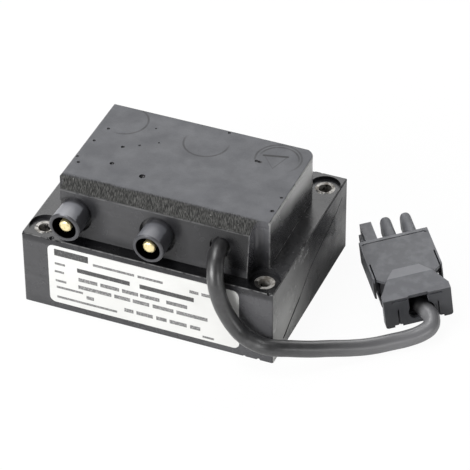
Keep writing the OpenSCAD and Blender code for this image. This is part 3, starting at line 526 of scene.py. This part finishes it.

# Painted highlights on edges, in part wear: rim of the ledge, upright edges beside the right notch,
# right rim of the top, and lower rim of the sawn band
ledge_rim = resin.both(resin.either(resin.step(x, block_right_x - 0.6, block_right_x - 0.1),
                                    resin.step(y, block_front_y + 0.55, block_front_y + 0.15)),
                       resin.step(z, ledge_z - 0.5, ledge_z - 0.1))
notch_edge = resin.both(resin.step(x, notch_x - 0.75, notch_x - 0.15), resin.step(y, -30.6, -31.4),
                        resin.step(z, ledge_z - 0.1, ledge_z + 0.5), resin.step(ny, -0.5, -0.9), 0.35)
corner_edge = resin.both(resin.near((upper_right_x, band_back_y - 0.3, 0), 0.25, 0.8, plan), 0.35)
top_rim = resin.both(resin.step(z, block_top_z - 1.6, block_top_z - 0.8),
                     resin.step(x, upper_right_x - 1.05, upper_right_x - 0.45))
band_rim = resin.both(resin.step(z, band_foot_z - 1.0, band_foot_z - 0.5),
                      resin.step(z, band_foot_z + 0.2, band_foot_z - 0.1),
                      resin.step(y, -30.6, -31.0), 0.3)
edge_highlight_and_wear = resin.either(ledge_rim, notch_edge, corner_edge, top_rim, band_rim)
# Painted light: the wall of the right notch is painted paler
notch_face_light = resin.both(resin.step(x, notch_x - 0.25, notch_x - 0.05),
                        resin.step(y, band_back_y, band_back_y - 0.2), resin.step(z, 36, 52))
edge_highlight_and_wear = resin.both(edge_highlight_and_wear, resin.step(resin.grain(3, 4, shift=8.0), 0.3, 0.6))
chips_and_highlights = resin.either(fold_highlight, resin.both(foot_highlight, 0.6), edge_chips, resin.both(edge_highlight_and_wear, 0.65))

# Colours: dusty ground top, dark ticks of the saw, black glossy sides with dry dusty patches.
# On the fronts, the front ledge, the right notch and the right side, light and shade are painted in.
dust = resin.step(resin.grain(11, 5, rough=0.6), 0.35, 0.7)
pale = resin.blend(dust, "#4a4b4f", "#545559")
pale = resin.blend(resin.both(resin.step(fine, 0.55, 0.75), 0.35), pale, "#37383b")
lumps = resin.grain(1.7, 4, rough=0.65)
torn = resin.step(resin.add(resin.both(ticks, 0.85), resin.both(lumps, 0.15)), 0.38, 0.7)
cut = resin.blend(torn, "#0f0f0e", "#525250")
flecks = resin.both(resin.step(resin.grain(1.4, 2, shift=6.0), 0.72, 0.8), 0.8)
cut = resin.blend(flecks, cut, "#a0a09c")
moulded = resin.blend(resin.step(cloud, 0.35, 0.7), "#1f1f21", "#2a2a2c")
moulded = resin.blend(resin.both(resin.step(patchy, 0.55, 0.8), 0.5), moulded, "#3c3c3e")
streaky = resin.grain(3.5, 4, rough=0.6, stretch=(3.0, 1, 0.7))
# Rises towards the right: painted light on the base front, painted shade on the upper front
right_light_and_shade = resin.step(resin.add(x, resin.times(wander, 16.0)), -10, 46)
# Dust on the front faces, painted paler towards the right as painted light
front_dust_and_light_colour = resin.blend(resin.either(streaky, right_light_and_shade), "#303031", "#48484a")
front_plan = resin.vector("MULTIPLY", resin.place, (1, 0, 1))
# Painted shade round the roots of the towers and of the cable
root_shade = resin.either(*(resin.near(spot, 6.5, 13.5, front_plan)
                            for spot in ((-29.5, 0, 41), (5.5, 0, 41), (31, 0, 43))))
upper_front = resin.both(resin.step(ny, -0.5, -0.9), resin.step(y, -29, -30), resin.step(z, 34, 38))
# Dust on the base front and the upper front, left off round the roots and towards the right, where the dark
# moulded colour stands as painted shade
front_dust_light_and_shade = resin.either(resin.both(front_face, resin.step(z, 31.6, 29.5)),
                           resin.both(upper_front, 0.75))
front_dust_light_and_shade = resin.less(front_dust_light_and_shade, resin.both(upper_front, resin.either(root_shade, right_light_and_shade)))
colour = resin.blend(front_dust_light_and_shade, moulded, front_dust_and_light_colour)
# Painted reflection of the lit table: the right face is painted pale along its front, most towards the foot
foot_reflection = resin.both(right_face, resin.step(resin.add(y, resin.times(wander, 12.0)), 6, -30))
foot_reflection = resin.both(foot_reflection, resin.level(resin.step(z, 28, 8), 0.34, 1.0))
# Painted shadow: the upper front goes near black towards the right, beside the cable
colour = resin.blend(resin.both(upper_front, right_light_and_shade, 0.8), colour, "#0d0d0e")
# Painted shade: the ledge in front of the upper part goes near black
colour = resin.blend(resin.both(ledge, resin.step(y, -30, -33), 0.8), colour, "#080809")
# Painted light on the wall of the right notch
colour = resin.blend(notch_face_light, colour, "#4f4f52")
# Painted reflection on the right face
colour = resin.blend(foot_reflection, colour, "#c2c2c0")
# Painted highlight: the right side of the upper part is painted pale towards its top edge
highlight_height = resin.add(z, resin.add(resin.times(y, 0.16), resin.times(wander, 7.0)))
colour = resin.blend(resin.both(upper_side, resin.step(highlight_height, 42, 53)), colour, "#a4a4a3")
# Chips, and painted highlights along the fold, the foot of the upper part and the edges
colour = resin.blend(resin.both(chips_and_highlights, 0.75), colour, "#a3a3a2")
colour = resin.blend(top, colour, pale)
colour = resin.blend(sawn, colour, cut)
colour = resin.blend(resin.either(resin.both(marks, 0.9), pits), colour, "#1a1a1b")
resin.set("Base Color", colour)
dullness = resin.level(resin.step(cloud, 0.3, 0.75), 0.16, 0.3)
dullness = resin.add(dullness, resin.both(front_dust_light_and_shade, 0.04))
dullness = resin.add(dullness, resin.both(top, 0.3))
dullness = resin.add(dullness, resin.both(chips_and_highlights, 0.3))
dullness = resin.add(dullness, resin.both(sawn, 0.5), clamp=True)
resin.set("Roughness", dullness)
high_right = resin.less(resin.both(right_face, resin.step(z, 12, 24)),
                        resin.both(resin.step(y, 24, 38), resin.step(z, 23, 29)))
resin.set("Specular IOR Level", resin.level(high_right, 0.37, 0.14))

# One relief, in millimetres: slack moulded faces, dry patches and saw marks
relief = resin.times(resin.grain(14, 2), 0.2)
relief = resin.add(relief, resin.times(resin.grain(0.7, 4, rough=0.65), 0.03))
saw_marks = resin.both(ticks, resin.step(y, band_back_y + 0.3, band_back_y - 0.7),
                       resin.step(z, band_foot_z - 0.3, band_foot_z - 0.05))
relief = resin.add(relief, resin.times(saw_marks, 0.35))
resin.bump(relief, 1.0)
dress("cast_body", resin)


# Rating label. Silvery foil with a glossy face, stuck on the front of the base. Its print is
# only plain bars of grey ink, as rows of wording would lie.
label_foil = Finish("label_foil", "#e6e6e5", 0.34, metal=0.15, specular=0.4)
label_foil.set("Base Color", label_foil.blend(label_foil.grain(18, 3), "#c2c2c0", "#d6d6d4"))
label_foil.set("Roughness", label_foil.level(label_foil.grain(2, 3), 0.3, 0.42))
label_foil.bump(label_foil.grain(6, 2), 0.03)
dress("rating_label", label_foil)


def printing_ink(name, plain, start, end, dark, light):
    made = Finish(name, plain, 0.5)
    made.set("Base Color", made.blend(made.step(made.grain(0.6, 4), start, end), dark, light))
    made.set("Roughness", made.level(made.grain(1.5, 2), 0.42, 0.6))
    made.bump(made.grain(0.4, 2), 0.01)
    return made


grey_ink = printing_ink("label_ink", "#6e6e6e", 0.4, 0.7, "#5c5c5c", "#8c8c8b")
dark_ink = printing_ink("label_dark_ink", "#3c3c3c", 0.45, 0.75, "#343434", "#5a5a5a")
print_y = -39.965
# Each bar: left end, right end, lower edge and height on the front, and whether its ink is dark
bars = [
    (-38.6, -24.2, 26.3, 3.2, 1), (-22.2, -4.8, 25.6, 1.2, 0), (-3.4, 7.2, 25.6, 1.2, 0),
    (-38.6, -34.2, 21.8, 1.1, 0), (-29.1, -6.8, 20.5, 2.1, 1), (-2.7, 20.0, 20.5, 2.1, 1),
    (-38.8, -34.8, 17.9, 1.1, 0), (-28.7, -20.6, 16.2, 1.8, 0), (-19.4, -11.4, 16.2, 1.8, 0),
    (-10.2, -3.4, 16.2, 1.8, 0), (-2.6, 5.6, 16.2, 1.8, 0), (8.4, 17.2, 16.2, 1.8, 0),
    (-38.6, -34.0, 13.4, 1.1, 0), (-28.9, -14.8, 12.5, 1.8, 0), (-13.6, -6.8, 12.5, 1.8, 0),
    (-5.8, 1.2, 12.5, 1.8, 0), (2.6, 11.4, 12.5, 1.8, 0), (12.6, 25.6, 12.5, 1.8, 0),
    (-38.3, -27.0, 10.2, 1.1, 0), (-25.6, -22.4, 8.2, 1.7, 0), (-9.5, -5.6, 7.0, 1.8, 0),
    (-4.4, 2.6, 7.0, 1.8, 0), (4.0, 8.4, 7.0, 1.8, 0), (9.6, 16.8, 7.0, 1.8, 0),
    (18.2, 22.5, 7.0, 1.8, 0), (-38.3, -12.6, 5.3, 1.1, 0), (23.4, 28.2, 4.1, 1.0, 0),
    (18.2, 22.0, 24.6, 1.5, 0), (23.2, 27.0, 24.6, 1.5, 0), (28.4, 30.8, 21.0, 1.2, 0)]
for name, dark, finish in (("label_print", 0, grey_ink), ("label_heading_print", 1, dark_ink)):
    print_mesh = bmesh.new()
    for low, high, foot, tall, shade in bars:
        if shade != dark:
            continue
        made = bmesh.ops.create_grid(print_mesh, x_segments=1, y_segments=1, size=0.5)["verts"]
        bmesh.ops.scale(print_mesh, vec=(high - low, tall, 1), verts=made)
        bmesh.ops.rotate(print_mesh, matrix=Matrix.Rotation(math.radians(90), 3, "X"), verts=made)
        bmesh.ops.translate(print_mesh, vec=((low + high) / 2, print_y, foot + tall / 2), verts=made)
    bmesh.ops.scale(print_mesh, vec=(0.001, 0.001, 0.001), verts=print_mesh.verts)
    printed = bpy.data.objects.new(name, bpy.data.meshes.new(name))
    print_mesh.to_mesh(printed.data)
    print_mesh.free()
    printed.data.materials.append(finish.material)
    bpy.context.scene.collection.objects.link(printed)
    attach(printed, "root")


# Plug contacts. Brass sleeves with screw terminals, the bared and fitted conductors, and the
# zinc-plated screws. They sit in the carrier, and little of them shows from outside.
contact_brass = Finish("contact_brass", "#cdb26a", 0.3, metal=0.9)
contact_brass.set("Base Color", contact_brass.blend(contact_brass.grain(1.5, 3), "#bfa35b", "#dcc686"))
contact_brass.set("Roughness", contact_brass.level(contact_brass.grain(0.8, 3), 0.22, 0.42))
contact_brass.bump(contact_brass.grain(0.3, 2), 0.015)
for node in ("plug_contact_live", "plug_contact_earth", "plug_contact_neutral"):
    dress(node, contact_brass)

screw_steel = Finish("screw_steel", "#b4b6b9", 0.32, metal=0.9)
screw_steel.set("Base Color", screw_steel.blend(screw_steel.grain(1, 3), "#a3a6aa", "#c8cacc"))
screw_steel.set("Roughness", screw_steel.level(screw_steel.grain(0.6, 3), 0.24, 0.45))
screw_steel.bump(screw_steel.grain(0.3, 2), 0.015)
dress("plug_terminal_screws", screw_steel)
dress("plug_clamp_screws", screw_steel)
dress("plug_conductors", brown_pvc)


# Plug shell, contact carrier and clamp. Injection-moulded grey-black polyamide with a fine
# spark-eroded grain. The carrier's three fingers stand out in front of the shell. The shell's rear wall
# is painted darker as painted shade, its ramp paler as a painted highlight, and the pockets beside its
# waist near black as painted deep shade.
plug_spot = (97, 3.2, 0)
plug_turn, plug_roll = 34, -7


def polyamide(name, dark, light):
    made = Finish(name, dark, 0.5, specular=0.45)
    worn = made.step(made.grain(4, 4), 0.4, 0.7)
    made.set("Base Color", made.blend(worn, dark, light))
    made.set("Roughness", made.level(made.grain(1.2, 3), 0.42, 0.6))
    made.bump(made.grain(0.28, 2), 0.03)
    return made


def along_the_plug(finish, source, origin=(0, 0, 0)):
    """Turns places or facings into the plug's own: X across it, Y along it and Z up."""
    turned = finish.node("ShaderNodeMapping", vector_type="TEXTURE")
    finish.feed(turned.inputs["Vector"], source)
    finish.feed(turned.inputs["Location"], origin)
    finish.feed(turned.inputs["Rotation"], (0, math.radians(plug_roll), math.radians(plug_turn)))
    return turned.outputs[0]


shell = polyamide("plug_polyamide", "#505155", "#5d5e62")
on_plug = along_the_plug(shell, shell.place, plug_spot)
facing_plug = along_the_plug(shell, shell.facing)
across, along = shell.math("ABSOLUTE", shell.axis("X", on_plug)), shell.axis("Y", on_plug)
rear_wall_shade = shell.both(shell.step(shell.axis("Y", facing_plug), -0.5, -0.8),
                       shell.step(along, 1.0, 0.5))
ramp_highlight = shell.both(shell.step(shell.axis("Y", facing_plug), 0.06, 0.14),
                  shell.step(shell.axis("Z", facing_plug), 0.7, 0.85))
pocket_shade = shell.both(shell.step(across, 8.9, 9.4), shell.step(along, 3.2, 4.0),
                    shell.step(along, 15.6, 15.1), shell.step(shell.axis("Z", on_plug), 13.6, 12.6))
# The worn grey that polyamide() gave it lies under the painted shade of rear wall and pockets and the
# painted highlight of the ramp
colour = shell.shader.inputs["Base Color"].links[0].from_socket
colour = shell.blend(shell.both(rear_wall_shade, 0.8), colour, "#2c2d30")
colour = shell.blend(shell.both(ramp_highlight, 0.8), colour, "#6e6f73")
shell.set("Base Color", shell.blend(pocket_shade, colour, "#0a0a0b"))
dress("plug_housing", shell)
dress("plug_contact_carrier", polyamide("carrier_polyamide", "#5b5c60", "#6b6c70"))
dress("plug_cable_clamp", polyamide("clamp_polyamide", "#48494c", "#56575a"))
